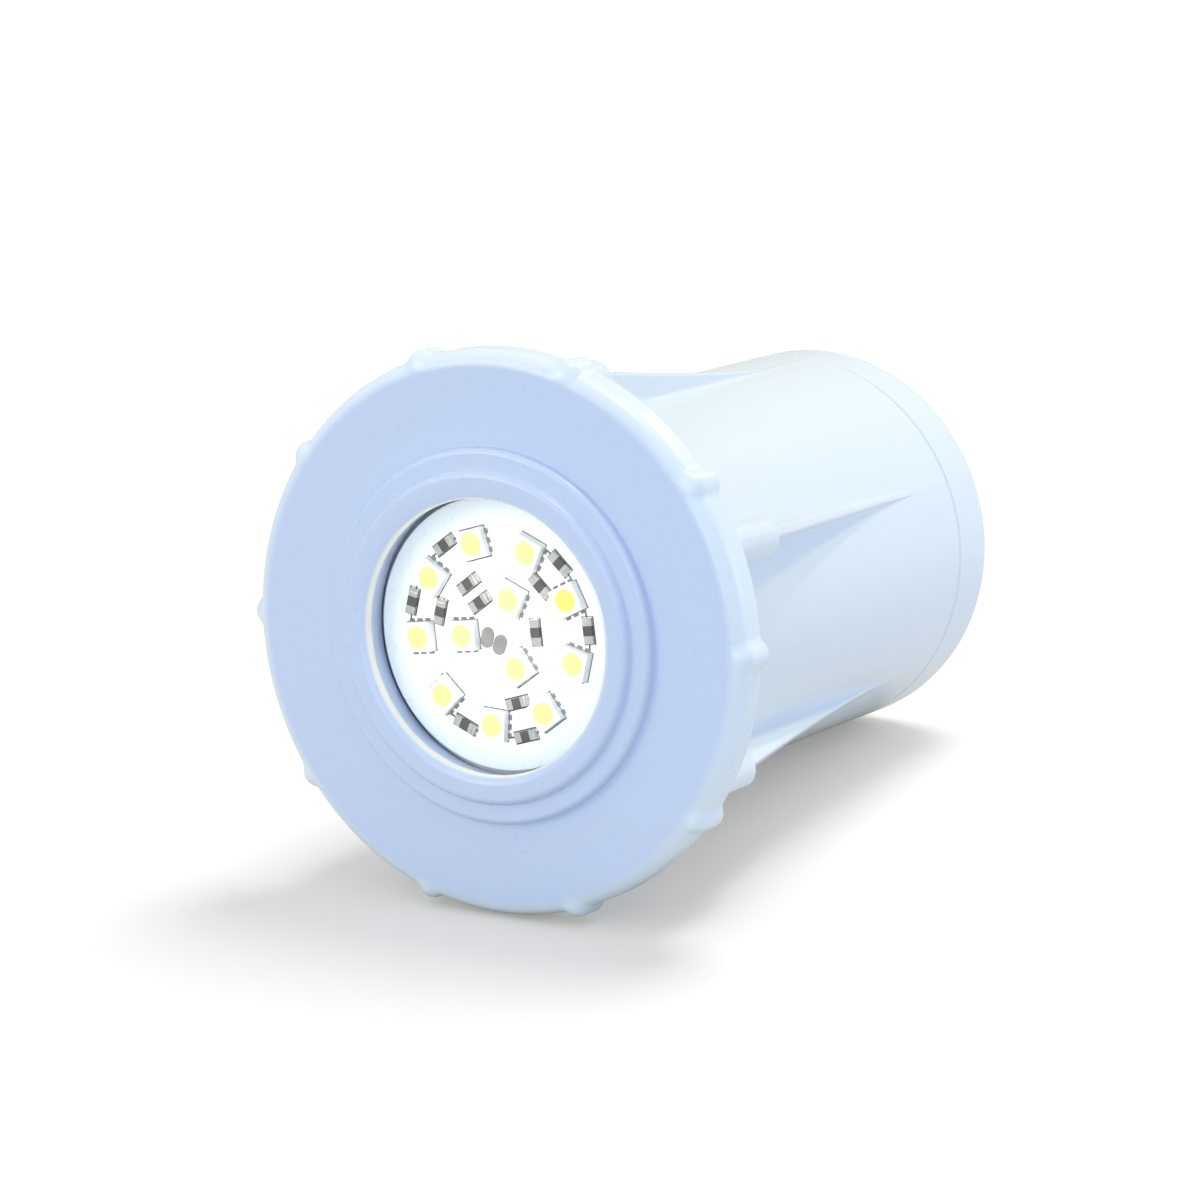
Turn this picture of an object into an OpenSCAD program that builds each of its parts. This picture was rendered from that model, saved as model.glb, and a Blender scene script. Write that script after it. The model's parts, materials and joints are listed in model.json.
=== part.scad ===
// Underwater pool light: a ribbed wall sleeve, a face ring that screws into its mouth with the
// lens bonded in it, an LED module behind the lens, a power board, a rear cap and a cable gland.
//
// Frame: origin on the light's axis at the rear face of the face ring's flange, which is the
// plane of the pool wall. The light shines along -Y, its rear is +Y, and +Z is up.
// Each part is drawn with local +Z as depth behind that plane and is turned into the frame by
// part_frame(). Clock angles count from straight up, clockwise as a swimmer sees the light.

/* [Face ring] */
// Diameter of the flange, without the grips
flange_d = 96; // [95:0.5:100]
// Thickness of the flange
flange_t = 7; // [6.5:0.5:8]
// Radius of the flange's rounded front edge
flange_round = 3; // [1:0.5:3]
// Number of half-round grips on the rim
grip_count = 10; // [6:1:12]
// Radius of a grip
grip_r = 2.6; // [2:0.1:3]
// How far a grip stands out of the rim
grip_proud = 1.3; // [0.8:0.1:1.8]
// Diameter of the lower step around the lens
low_step_d = 63.6; // [62:0.2:66]
// Height of the lower step above the flange
low_step_h = 1.7; // [1.2:0.1:2]
// Diameter of the upper step around the lens
high_step_d = 56.4; // [55:0.2:58]
// Height of the upper step above the flange
high_step_h = 3.2; // [2.8:0.1:3.6]
// Diameter of the light opening
opening_d = 46.8; // [46:0.2:47]

/* [Wall sleeve] */
// Outer diameter of the barrel
barrel_d = 69; // [69:0.5:72]
// Wall thickness of the barrel
barrel_wall = 3; // [3:0.1:3.2]
// Depth of the barrel, from the wall plane to the seam of the rear cap
barrel_len = 96; // [95:1:120]
// Mould draft: how much wider the ribbed part of the barrel is at its front
barrel_draft = 0.4; // [0:0.1:0.6]
// Number of ribs, each with a lug behind the flange
rib_count = 6; // [3:1:8]
// Height of a rib at the wall plane
rib_h = 10; // [6:0.5:11]
// Length of a rib
rib_len = 84; // [60:1:84]
// Width of a rib at its front
rib_front_w = 2.4; // [2:0.1:4]
// Width of a rib at its tip
rib_tip_w = 1; // [0.6:0.1:2]
// Length of a lug, without its round end
lug_len = 18.5; // [12:0.5:22]
// Radius of a lug's half-round back
lug_r = 3.6; // [3:0.1:4]

/* [Rear cap and gland] */
// Depth of the rear cap behind the seam
cap_len = 13.5; // [9:0.5:16]
// Radius of the cap's rounded rear edge
cap_round = 5; // [2:0.5:6]
// Radius of the gland's passage for the cable
cable_r = 3.5; // [2.5:0.1:3.5]
// Width across the flats of the gland's hexagons
gland_flats = 17; // [17:0.5:19]

/* [LED board] */
// Diameter of the LED board
board_d = 46.6; // [45:0.2:46.6]
// LED packages on the outer ring
outer_leds = 9; // [6:3:9]
// Radius of the outer ring of LEDs
outer_led_r = 15.6; // [15:0.1:16.5]
// Radius of the inner ring of three LEDs
inner_led_r = 6.7; // [6.4:0.1:7]
// Side of an LED package
led_w = 5; // [4.5:0.1:5]
// Height of an LED package
led_h = 1.6; // [1.2:0.1:1.6]

/* [Threads] */
// Pitch of the face ring's thread
ring_pitch = 4; // [3:0.5:4]
// Pitch of the gland nut's thread
nut_pitch = 2; // [1.5:0.25:2]

/* [Hidden] */
$fn = 96;
fuse = 0.4;           // overlap where two shapes of one piece are joined
eps = 0.05;           // overlap where a cut leaves a face
past = 1;             // how far a cut runs past the face that it opens
flange_r = flange_d / 2;
barrel_r = barrel_d / 2;
bore_r = barrel_r - barrel_wall;
face_z = -flange_t;   // plane of the flange's front face

// Clock angles of the repeated features
rib_phase = 6;
grip_phase = 17;
led_phase = 22.5;
strings = 3;          // LED strings, each with three outer LEDs and one inner LED
led_step = 360 / outer_leds;
string_step = 360 / strings;

// Face ring, inside
spigot_r = bore_r - 1.8;
spigot_end = 11.5;
spigot_chamfer = 0.5;
module_bore_r = 25.5;
module_bore_z = -3.8;
lens_seat_r = 24.2;
lens_seat_z = -8.1;

// Lens and the flat gasket in front of it
gasket_t = 0.4;
lens_t = 1.5;
lens_gap = 0.1;

// The flange's rear: an outer seat that meets the wall, and a shallow recess inside it
seat_inner_r = 45.6;
seat_recess = 0.8;
grip_root_r = seat_inner_r + 0.2;    // the grips are cut off inside it

// Mouth of the sleeve and the O-ring in it
sleeve_front = 0.2 - seat_recess;
mouth_r = bore_r + 1.2;
mouth_z = 3;
o_ring_section_r = 1.1;
o_ring_r = spigot_r + 0.3 + o_ring_section_r;
o_ring_z = 1.55;

// Shoulder in the sleeve that carries the LED module
shoulder_z = 17.5;
shoulder_t = 4;
shoulder_r = 25.5;

// Ribs and lugs
rib_hollow = 1.35;    // exponent of the crest's curve: 1 is straight, more is hollower
lug_drop = 0.8;       // how far a lug's back lies below the rib's front corner

// Face ring thread
ring_turns = 1.5;
ring_thread_z = 3.85;
ring_thread_root_w = 0.6 * ring_pitch;
ring_thread_crest_w = 0.3 * ring_pitch;
ring_crest_gap = 0.4;
ring_segments = 36;

// LED board and what it stands on
board_z = -4.4;
board_t = 1.6;
thermal_pad_t = 0.5;
thermal_pad_r = 20;
sink_r = 22.6;
sink_base_t = 4.3;
sink_fin_r = 19.4;
sink_fin_end = 14;
sink_fin_pitch = 4.6;
sink_fin_t = 1.6;
sink_fins = 7;
wire_passage_r = 4.5;
carrier_r = 24.6;
carrier_bore_r = 22.8;
carrier_ledge_r = 20.5;
carrier_ledge_t = 2.5;
carrier_flange_r = bore_r - 1.7;
carrier_flange_t = 3;
carrier_rear_r = 17;
carrier_rear_t = 2;
carrier_screw_r = 27.3;
carrier_screw_phase = 40;
screw_shank_r = 1.25;
screw_head_r = 2.1;
screw_head_h = 1.5;
screw_len = 6.5;
screw_slot_w = 0.6;
screw_slot_depth = 0.7;
screw_play = 0.15;    // radial clearance of a screw in a plain hole

// LED package, resistor and solder pad details
phosphor_r = 1.95;
phosphor_t = 0.15;
amber_led = 1;        // which outer LED has the amber phosphor, counted from led_phase
lead_w = 0.9;
lead_reach = 0.55;
lead_t = 0.3;
lead_pitch = 1.6;
chip_len = 3.2;
chip_w = 1.7;
chip_t = 0.6;
chip_end = 0.75;
solder_reach = 0.6;
solder_t = 0.45;
outer_chip_r = 17.7;
middle_chip_r = 12;
pad_len = 3.6;
pad_w = 2.4;
pad_t = 0.3;
// Radius and clock angle of the three chips inside the outer ring
inner_chips = [[9.9, 322.5], [6.2, 322.5], [7.3, 82.5]];
// Radius, clock angle and tilt of the two wire pads
wire_pads_at = [[2.5, 249, 12], [1.9, 175, 20]];

// Power board
power_board_z = 42;
power_board_r = 24.5;
power_board_t = 1.6;
standoff_r = 21;
standoff_phase = 100;
standoff_flats_r = 2.9;
standoff_len = power_board_z - shoulder_z;
wire_r = 0.6;
standoff_hole_depth = 5;
board_screw_len = 4;
capacitor_at = [9, 9];
capacitor_r = 6.5;
capacitor_h = 21;
capacitor_round = 0.5;
capacitor_crimp_z = 2.5;
rectifier_at = [-11, 8];
rectifier_r = 4.7;
rectifier_h = 5.5;
rectifier_pin_pitch = 3.6;
pin_r = 0.4;
pin_h = 3;
terminal_at = [0, -13];
terminal_size = [11, 8, 10];
terminal_screw_r = 1.6;
terminal_screw_h = 2;
terminal_screw_play = 0.2;
terminal_screw_depth = 3;
terminal_wire_r = 1.5;
terminal_wire_z = 4;

// Rear cap
seam_gap = 0.15;
seam_chamfer = 0.3;
cap_wall = 3;
plug_len = 8;
plug_r = bore_r - 0.1;
plug_wall = 2.8;
cap_face_z = barrel_len + cap_len;
cap_inner_z = cap_face_z - cap_wall;

// Cable gland
gland_r = 6;
gland_hole_r = gland_r + 0.1;
locknut_t = 4;
washer_t = 1;
washer_r = 9.4;
gland_hex_z = cap_face_z + washer_t + 0.05;
gland_hex_t = 5;
gland_hex_r = gland_flats / 2 / cos(30);
gland_len = 12.5;
gland_tail = 1.5;     // how far the gland body stands out of its locknut, inside
seal_pocket_r = 4.95;
seal_r = 4.8;
seal_pocket_z = gland_hex_z + gland_hex_t + 1.2;
seal_z = seal_pocket_z + 0.2;
seal_len = 7.5;
nut_z = gland_hex_z + gland_hex_t + 1.3;
nut_hex_t = 7;
nut_len = 11.5;
nut_dome_round = 3.5;
nut_bore_r = gland_r + 0.95;
nut_ceiling_z = seal_z + seal_len + 0.1;

// Gland nut thread
nut_turns = 2.5;
nut_thread_z = nut_z + 0.5;
nut_segments = 24;
nut_thread_root_w = 0.4 * nut_pitch;
nut_thread_crest_w = 0.18 * nut_pitch;
nut_crest_gap = 0.3;
nut_thread_fuse = 0.15;

// Points of an arc, from angle a to angle b
function arc(centre, r, a, b, steps = 8) =
    [for (i = [0:steps]) centre + r * [cos(a + (b - a) * i / steps), sin(a + (b - a) * i / steps)]];

// Crest radius of a rib at a depth: a hollow curve that runs out on the barrel
function rib_crest(z) = barrel_r + rib_h * pow(max(0, 1 - z / rib_len), rib_hollow);

// Turns depth behind the wall plane (local +Z) into the frame's +Y
module part_frame() {
    rotate([-90, 0, 0]) children();
}

// Points local +X at a clock angle
module at_clock(angle) {
    rotate([0, 0, angle - 90]) children();
}

// Copies children around the axis
module around(count, phase) {
    for (i = [0:count - 1])
        at_clock(phase + i * 360 / count) children();
}

module disc(r, t, z) {
    translate([0, 0, z]) cylinder(r = r, h = t);
}

module tube(outer, inner, t, z) {
    translate([0, 0, z])
        difference() {
            cylinder(r = outer, h = t);
            translate([0, 0, -past]) cylinder(r = inner, h = t + 2 * past);
        }
}

// A box centred in X and Y that starts at z
module block(size, z) {
    translate([-size[0] / 2, -size[1] / 2, z]) cube(size);
}

// A right-handed thread ridge of trapezium section, from root_r to crest_r
module thread_ridge(root_r, crest_r, pitch, turns, root_w, crest_w, z, segments) {
    rings = round(turns * segments);
    section = [[root_r, -root_w / 2], [crest_r, -crest_w / 2], [crest_r, crest_w / 2], [root_r, root_w / 2]];
    order = crest_r > root_r ? [3, 2, 1, 0] : [0, 1, 2, 3];
    points = [
        for (i = [0:rings], k = order)
            let (a = 360 * i / segments)
            [section[k][0] * cos(a), section[k][0] * sin(a), z + section[k][1] + pitch * i / segments]
    ];
    sides = [
        for (i = [0:rings - 1], k = [0:3], half = [0, 1])
            let (p = 4 * i + k, q = 4 * i + (k + 1) % 4)
            half == 0 ? [p, p + 4, q + 4] : [p, q + 4, q]
    ];
    last = 4 * rings;
    ends = [[0, 1, 2], [0, 2, 3], [last + 2, last + 1, last], [last + 3, last + 2, last]];
    polyhedron(points = points, faces = concat(sides, ends), convexity = 10);
}

// ---- Wall sleeve

module barrel_shell() {
    rotate_extrude()
        polygon([
            [mouth_r, sleeve_front], [barrel_r + barrel_draft, sleeve_front], [barrel_r, rib_len + 0.5],
            [barrel_r, barrel_len - seam_chamfer], [barrel_r - seam_chamfer, barrel_len],
            [bore_r, barrel_len],
            [bore_r, shoulder_z + shoulder_t], [shoulder_r, shoulder_z + shoulder_t],
            [shoulder_r, shoulder_z], [bore_r, shoulder_z],
            [bore_r, mouth_z], [mouth_r, mouth_z],
        ]);
}

// Side view of a rib: straight at the front, hollow along its crest
module rib_side() {
    steps = 16;
    polygon(concat(
        [[barrel_r - fuse, sleeve_front]],
        [for (i = [0:steps]) let (z = sleeve_front + (rib_len - sleeve_front) * i / steps) [rib_crest(z), z]],
        [[barrel_r - fuse, rib_len]]
    ));
}

// Plan of a rib: wide at the wall plane and narrow at the tip
module rib_plan() {
    front = rib_front_w / 2;
    tip = rib_tip_w / 2;
    polygon([[-front, -past], [front, -past], [tip, rib_len + past], [-tip, rib_len + past]]);
}

module rib() {
    intersection() {
        rotate([90, 0, 0])
            linear_extrude(height = 2 * rib_front_w, center = true) rib_side();
        rotate([90, 0, 90])
            linear_extrude(height = flange_r) rib_plan();
    }
}

// A round-ended lug that backs up the flange at the front of a rib
module lug() {
    lug_axis_r = barrel_r + rib_h - lug_drop - lug_r;
    root = barrel_r - fuse;
    translate([lug_axis_r, 0, sleeve_front]) cylinder(r = lug_r, h = lug_len);
    translate([lug_axis_r, 0, sleeve_front + lug_len]) sphere(r = lug_r);
    translate([root, -lug_r, sleeve_front]) cube([lug_axis_r - root, 2 * lug_r, lug_len]);
    translate([root, 0, sleeve_front + lug_len])
        rotate([0, 90, 0]) cylinder(r = lug_r, h = lug_axis_r - root);
}

module wall_sleeve() {
    color("#EEF3F7") part_frame() {
        difference() {
            union() {
                barrel_shell();
                around(rib_count, rib_phase) {
                    rib();
                    lug();
                }
            }
            around(strings, carrier_screw_phase)
                translate([carrier_screw_r, 0, shoulder_z - past])
                    cylinder(r = screw_shank_r, h = shoulder_t + 2 * past);
        }
        thread_ridge(bore_r + fuse, spigot_r + ring_crest_gap, ring_pitch, ring_turns,
            ring_thread_root_w, ring_thread_crest_w, ring_thread_z + ring_pitch / 2, ring_segments);
    }
}

// ---- Face ring and what moves with it

module ring_profile() {
    lip_round = 1.8;
    high_round = 1.2;
    low_round = 1;
    back_round = 0.6;
    opening_r = opening_d / 2;
    high_r = high_step_d / 2;
    low_r = low_step_d / 2;
    high_z = face_z - high_step_h;
    low_z = face_z - low_step_h;
    polygon(concat(
        [[module_bore_r, spigot_end], [module_bore_r, module_bore_z], [lens_seat_r, module_bore_z],
            [lens_seat_r, lens_seat_z], [opening_r, lens_seat_z]],
        arc([opening_r + lip_round, high_z + lip_round], lip_round, 180, 270),
        arc([high_r - high_round, high_z + high_round], high_round, 270, 360),
        [[high_r, low_z]],
        arc([low_r - low_round, low_z + low_round], low_round, 270, 360),
        [[low_r, face_z]],
        arc([flange_r - flange_round, face_z + flange_round], flange_round, 270, 360, 12),
        arc([flange_r - back_round, -back_round], back_round, 0, 90, 4),
        [[seat_inner_r, 0], [seat_inner_r - seat_recess, -seat_recess], [spigot_r, -seat_recess],
            [spigot_r, spigot_end - spigot_chamfer], [spigot_r - spigot_chamfer, spigot_end]]
    ));
}

// A half-round grip along the rim with a round front end, cut off inside the flange
module grip() {
    front = face_z + flange_round;
    difference() {
        translate([flange_r + grip_proud - grip_r, 0, front]) {
            cylinder(r = grip_r, h = -front);
            sphere(r = grip_r);
        }
        translate([0, 0, front - 2 * grip_r]) cylinder(r = grip_root_r, h = 4 * grip_r - front);
    }
}

module face_ring() {
    color("#D3DAF0") part_frame() {
        rotate_extrude() ring_profile();
        around(grip_count, grip_phase) grip();
        thread_ridge(spigot_r - fuse, bore_r - ring_crest_gap, ring_pitch, ring_turns,
            ring_thread_root_w, ring_thread_crest_w, ring_thread_z, ring_segments);
    }
}

module lens_gasket() {
    color("#CDD4D7") part_frame()
        tube(lens_seat_r - lens_gap, opening_d / 2 + lens_gap, gasket_t, lens_seat_z);
}

module lens() {
    color("#DDEBF5", 0.35) part_frame()
        disc(lens_seat_r - lens_gap, lens_t, lens_seat_z + gasket_t);
}

module face_o_ring() {
    color("#24262A") part_frame()
        translate([0, 0, o_ring_z])
            rotate_extrude() translate([o_ring_r, 0]) circle(r = o_ring_section_r, $fn = 32);
}

// ---- LED module

module led_board() {
    color("#F4F8FA") part_frame() disc(board_d / 2, board_t, board_z);
}

// Puts children at every LED, with local +X outward
module at_outer_led(i) {
    at_clock(led_phase + i * led_step) translate([outer_led_r, 0, board_z]) children();
}

module at_inner_leds() {
    around(strings, led_phase) translate([inner_led_r, 0, board_z]) children();
}

module at_every_led() {
    for (i = [0:outer_leds - 1]) at_outer_led(i) children();
    at_inner_leds() children();
}

module led_package() {
    difference() {
        block([led_w, led_w, led_h], -led_h);
        translate([0, 0, -led_h - eps]) cylinder(r = phosphor_r, h = phosphor_t + eps, $fn = 48);
    }
}

module phosphor() {
    disc(phosphor_r, phosphor_t, -led_h, $fn = 48);
}

module led_packages() {
    color("#FFFFFF") part_frame() at_every_led() led_package();
}

module cool_white_phosphors() {
    color("#EEF59A") part_frame() {
        for (i = [0:outer_leds - 1])
            if (i != amber_led) at_outer_led(i) phosphor();
        at_inner_leds() phosphor();
    }
}

module amber_phosphor() {
    color("#F7C948") part_frame() at_outer_led(amber_led) phosphor();
}

// Three leads on each side of a package that lies along the ring
module package_leads() {
    for (side = [-1, 1], k = [-1:1])
        translate([k * lead_pitch, side * (led_w + lead_reach) / 2, 0])
            block([lead_w, lead_reach, lead_t], -lead_t);
}

module led_leads() {
    color("#A9ADB0") part_frame() at_every_led() package_leads();
}

// Puts children at every chip resistor, with local +X outward
module at_every_chip() {
    for (s = [0:strings - 1]) {
        first_gap = led_phase + led_step / 2 + s * string_step;
        at_clock(first_gap) translate([outer_chip_r, 0, board_z]) children();
        at_clock(first_gap) translate([middle_chip_r, 0, board_z]) children();
        at_clock(first_gap + led_step) translate([outer_chip_r, 0, board_z]) children();
    }
    for (c = inner_chips)
        at_clock(c[1]) translate([c[0], 0, board_z]) children();
}

module resistor_bodies() {
    color("#3B3E42") part_frame()
        at_every_chip() block([chip_w, chip_len - 2 * chip_end, chip_t], -chip_t);
}

// The plated end of a chip and the solder around it, at both ends
module chip_solder() {
    for (side = [-1, 1]) {
        translate([0, side * (chip_len - chip_end) / 2, 0])
            block([chip_w, chip_end, chip_t], -chip_t);
        translate([0, side * (chip_len + solder_reach) / 2, 0])
            block([chip_w, solder_reach, solder_t], -solder_t);
    }
}

module resistor_solder() {
    color("#C9CCCE") part_frame() at_every_chip() chip_solder();
}

// An oval pad at one wire
module wire_pad() {
    linear_extrude(height = pad_t)
        union() {
            square([pad_w, pad_len - pad_w], center = true);
            for (side = [-1, 1])
                translate([0, side * (pad_len - pad_w) / 2]) circle(r = pad_w / 2, $fn = 32);
        }
}

module wire_pads() {
    color("#8C9093") part_frame()
        for (p = wire_pads_at)
            at_clock(p[1])
                translate([p[0], 0, board_z - pad_t])
                    rotate([0, 0, 90 - p[1] + p[2]]) wire_pad();
}

module thermal_pad() {
    color("#7FA6C9") part_frame()
        tube(thermal_pad_r, wire_passage_r, thermal_pad_t, board_z + board_t);
}

module sink_fins() {
    intersection() {
        disc(sink_fin_r, sink_fin_end, 0);
        for (i = [0:sink_fins - 1])
            translate([(i - (sink_fins - 1) / 2) * sink_fin_pitch, 0, 0])
                block([sink_fin_t, 2 * sink_r, sink_fin_end], 0);
    }
}

module heat_sink() {
    base_z = board_z + board_t + thermal_pad_t;
    color("#B8BCC2") part_frame()
        difference() {
            union() {
                disc(sink_r, sink_base_t, base_z);
                sink_fins();
            }
            disc(wire_passage_r, sink_fin_end - base_z + 2 * past, base_z - past);
        }
}

module led_carrier() {
    front_z = board_z + board_t;
    ledge_z = front_z + thermal_pad_t + sink_base_t;
    flange_z = shoulder_z - carrier_flange_t;
    color("#DADDE2") part_frame()
        difference() {
            rotate_extrude()
                polygon([
                    [carrier_bore_r, front_z], [carrier_r, front_z],
                    [carrier_r, flange_z], [carrier_flange_r, flange_z],
                    [carrier_flange_r, shoulder_z], [carrier_rear_r, shoulder_z],
                    [carrier_rear_r, shoulder_z - carrier_rear_t],
                    [carrier_bore_r, shoulder_z - carrier_rear_t],
                    [carrier_bore_r, ledge_z + carrier_ledge_t], [carrier_ledge_r, ledge_z + carrier_ledge_t],
                    [carrier_ledge_r, ledge_z], [carrier_bore_r, ledge_z],
                ]);
            around(strings, carrier_screw_phase)
                translate([carrier_screw_r, 0, flange_z - past])
                    cylinder(r = screw_shank_r + screw_play, h = carrier_flange_t + 2 * past);
        }
}

// A pan-head screw along local +Z, with its head under z = 0
module pan_screw(shank) {
    difference() {
        union() {
            disc(screw_head_r, screw_head_h, -screw_head_h);
            disc(screw_shank_r, shank, 0);
        }
        for (turn = [0, 90])
            rotate([0, 0, turn])
                block([screw_slot_w, screw_head_r * 1.4, screw_slot_depth + past], -screw_head_h - past);
    }
}

module carrier_screws() {
    color("#C4C7CA") part_frame()
        around(strings, carrier_screw_phase)
            translate([carrier_screw_r, 0, shoulder_z - carrier_flange_t]) pan_screw(screw_len);
}

// ---- Power board

module standoffs() {
    color("#C9B458") part_frame()
        around(strings, standoff_phase)
            translate([standoff_r, 0, shoulder_z])
                difference() {
                    cylinder(r = standoff_flats_r, h = standoff_len, $fn = 6);
                    disc(screw_shank_r, standoff_hole_depth + past, standoff_len - standoff_hole_depth);
                }
}

module power_board() {
    color("#2E7D4F") part_frame()
        difference() {
            disc(power_board_r, power_board_t, power_board_z);
            around(strings, standoff_phase)
                translate([standoff_r, 0, power_board_z - past])
                    cylinder(r = screw_shank_r + screw_play, h = power_board_t + 2 * past);
        }
}

module power_board_screws() {
    color("#C4C7CA") part_frame()
        around(strings, standoff_phase)
            translate([standoff_r, 0, power_board_z + power_board_t])
                mirror([0, 0, 1]) pan_screw(board_screw_len);
}

// Puts children on the board's rear face at a place [x, y]
module on_power_board(place) {
    translate([place[0], place[1], power_board_z + power_board_t]) children();
}

module bridge_rectifier() {
    color("#26282B") part_frame()
        on_power_board(rectifier_at) {
            disc(rectifier_r, rectifier_h, pin_h);
            for (x = [-0.5, 0.5], y = [-0.5, 0.5])
                translate([x * rectifier_pin_pitch, y * rectifier_pin_pitch, 0])
                    cylinder(r = pin_r, h = pin_h + fuse, $fn = 16);
        }
}

module smoothing_capacitor() {
    color("#2C3E66") part_frame()
        on_power_board(capacitor_at)
            rotate_extrude()
                polygon(concat(
                    [[0, 0]],
                    arc([capacitor_r - capacitor_round, capacitor_round], capacitor_round, 270, 360, 4),
                    [[capacitor_r, capacitor_crimp_z - capacitor_round],
                        [capacitor_r - capacitor_round, capacitor_crimp_z],
                        [capacitor_r, capacitor_crimp_z + capacitor_round]],
                    arc([capacitor_r - capacitor_round, capacitor_h - capacitor_round],
                        capacitor_round, 0, 90, 4),
                    [[0, capacitor_h]]
                ));
}

// Puts children at the middle of each of the terminal's two poles
module at_terminal_poles() {
    on_power_board(terminal_at)
        for (side = [-1, 1])
            translate([side * terminal_size[0] / 4, 0, 0]) children();
}

module input_terminal() {
    color("#3E8E5A") part_frame()
        difference() {
            on_power_board(terminal_at) block(terminal_size, 0);
            at_terminal_poles() {
                disc(terminal_screw_r + terminal_screw_play, terminal_screw_depth + past,
                    terminal_size[2] - terminal_screw_depth);
                translate([0, 0, terminal_wire_z])
                    rotate([90, 0, 0]) cylinder(r = terminal_wire_r, h = terminal_size[1]);
            }
        }
}

module terminal_screws() {
    color("#C4C7CA") part_frame() at_terminal_poles()
        translate([0, 0, terminal_size[2] - terminal_screw_depth])
            difference() {
                disc(terminal_screw_r, terminal_screw_h, 0);
                block([screw_slot_w, 3 * terminal_screw_r, screw_slot_depth + past],
                    terminal_screw_h - screw_slot_depth);
            }
}

// A wire from one solder pad to the power board
module board_wire(pad) {
    start = board_z + board_t;
    at_clock(wire_pads_at[pad][1])
        translate([wire_pads_at[pad][0], 0, start])
            cylinder(r = wire_r, h = power_board_z - start, $fn = 24);
}

module red_wire() {
    color("#C0392B") part_frame() board_wire(0);
}

module black_wire() {
    color("#222222") part_frame() board_wire(1);
}

// ---- Rear cap and cable gland

module rear_cap() {
    front_z = barrel_len + seam_gap;
    plug_inner_r = plug_r - plug_wall;
    color("#EEF3F7") part_frame()
        rotate_extrude()
            polygon(concat(
                [[gland_hole_r, cap_inner_z], [plug_inner_r, cap_inner_z],
                    [plug_inner_r, barrel_len - plug_len], [plug_r, barrel_len - plug_len],
                    [plug_r, front_z], [barrel_r - seam_chamfer, front_z],
                    [barrel_r, front_z + seam_chamfer]],
                arc([barrel_r - cap_round, cap_face_z - cap_round], cap_round, 0, 90, 10),
                [[gland_hole_r, cap_face_z]]
            ));
}

module gland_washer() {
    color("#2B2F36") part_frame() tube(washer_r, gland_hole_r, washer_t, cap_face_z);
}

module gland_locknut() {
    color("#E6E9EC") part_frame()
        translate([0, 0, cap_inner_z - locknut_t])
            difference() {
                cylinder(r = gland_hex_r, h = locknut_t - eps, $fn = 6);
                disc(gland_hole_r, locknut_t + 2 * past, -past);
            }
}

module gland_body() {
    inner_end = cap_inner_z - locknut_t - gland_tail;
    body_len = gland_hex_z + gland_len - inner_end;
    color("#E6E9EC") part_frame() {
        difference() {
            union() {
                disc(gland_r, body_len, inner_end);
                translate([0, 0, gland_hex_z]) cylinder(r = gland_hex_r, h = gland_hex_t, $fn = 6);
            }
            disc(cable_r, body_len + 2 * past, inner_end - past);
            disc(seal_pocket_r, gland_len, seal_pocket_z);
        }
        thread_ridge(gland_r - nut_thread_fuse, nut_bore_r - nut_crest_gap, nut_pitch, nut_turns,
            nut_thread_root_w, nut_thread_crest_w, nut_thread_z, nut_segments);
    }
}

module gland_seal() {
    color("#3A3D42") part_frame() tube(seal_r, cable_r, seal_len, seal_z);
}

// Dome nut: hexagon below, round dome above, threaded inside
module gland_nut() {
    dome_r = gland_flats / 2;
    color("#E6E9EC") part_frame() {
        difference() {
            union() {
                translate([0, 0, nut_z]) cylinder(r = gland_hex_r, h = nut_hex_t, $fn = 6);
                rotate_extrude()
                    polygon(concat(
                        [[0, nut_z + fuse], [dome_r, nut_z + fuse]],
                        arc([dome_r - nut_dome_round, nut_z + nut_len - nut_dome_round],
                            nut_dome_round, 0, 90),
                        [[0, nut_z + nut_len]]
                    ));
            }
            disc(nut_bore_r, nut_ceiling_z - nut_z + past, nut_z - past);
            disc(cable_r, nut_len + 2 * past, nut_z - past);
        }
        thread_ridge(nut_bore_r + nut_thread_fuse, gland_r + nut_crest_gap, nut_pitch, nut_turns,
            nut_thread_root_w, nut_thread_crest_w, nut_thread_z + nut_pitch / 2, nut_segments);
    }
}

wall_sleeve();
face_ring();
lens();
lens_gasket();
face_o_ring();
led_board();
led_packages();
cool_white_phosphors();
amber_phosphor();
led_leads();
resistor_bodies();
resistor_solder();
wire_pads();
thermal_pad();
heat_sink();
led_carrier();
carrier_screws();
standoffs();
power_board();
power_board_screws();
bridge_rectifier();
smoothing_capacitor();
input_terminal();
terminal_screws();
red_wire();
black_wire();
rear_cap();
gland_washer();
gland_body();
gland_locknut();
gland_seal();
gland_nut();
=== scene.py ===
import json
import math

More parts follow.
